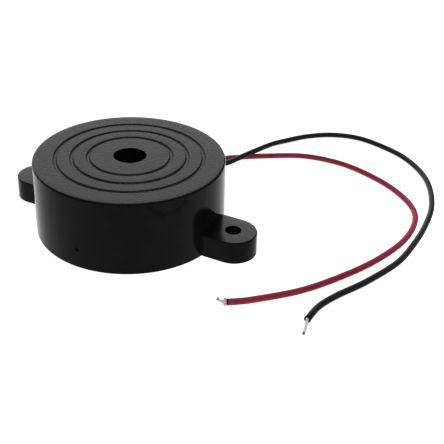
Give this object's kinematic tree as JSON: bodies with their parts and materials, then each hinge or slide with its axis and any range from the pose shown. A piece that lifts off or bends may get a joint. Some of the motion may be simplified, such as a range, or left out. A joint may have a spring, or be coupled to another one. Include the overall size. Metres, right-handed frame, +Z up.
{
  "type": "piezo buzzer",
  "caption": "Round black piezo buzzer with two mounting ears, ring grooves around a central sound port, and red and black flying leads with stripped ends.",
  "frame": {"origin": "on the base plane, at the axis of the round case", "axes": "+Z up out of the sound port, +X through the two ear holes, +Y towards the side where the leads leave"},
  "size_m": [0.0917, 0.0893, 0.0165],
  "materials": {
    "case_plastic": "black moulded plastic, satin sides and finely textured top",
    "cover_plastic": "black moulded plastic, matt",
    "disc_brass": "plain rolled brass",
    "piezo_ceramic": "matt fired ceramic",
    "silver_film": "matt printed silver",
    "clear_adhesive": "cured silicone, satin",
    "board_laminate": "brown paper laminate",
    "copper_foil": "etched copper",
    "mould_compound": "matt black moulding",
    "tinned_wire": "tinned",
    "resistor_coat": "dipped lacquer",
    "solder": "bright solder",
    "jumper_blue": "satin",
    "jumper_white": "satin",
    "jumper_black": "satin",
    "sealant": "cured silicone, satin",
    "red_pvc": "satin crimson PVC",
    "black_pvc": "satin black PVC",
    "tinned_strands": "twisted tinned copper strands"
  },
  "bodies": {
    "root": {"housing": "case_plastic", "back_cover": "cover_plastic", "brass_diaphragm": "disc_brass", "piezo_ceramic": "piezo_ceramic", "main_electrode": "silver_film", "feedback_electrode": "silver_film", "diaphragm_adhesive": "clear_adhesive", "circuit_board": "board_laminate", "board_copper": "copper_foil", "transistor_body": "mould_compound", "transistor_legs": "tinned_wire", "collector_resistor_body": "resistor_coat", "base_resistor_body": "resistor_coat", "feedback_resistor_body": "resistor_coat", "resistor_legs": "tinned_wire", "board_solder": "solder", "disc_solder": "solder", "main_jumper": "jumper_blue", "feedback_jumper": "jumper_white", "ground_jumper": "jumper_black", "lead_sealant": "sealant", "red_lead_insulation": "red_pvc", "red_lead_conductor": "tinned_strands", "black_lead_insulation": "black_pvc", "black_lead_conductor": "tinned_strands"}
  },
  "joints": []
}
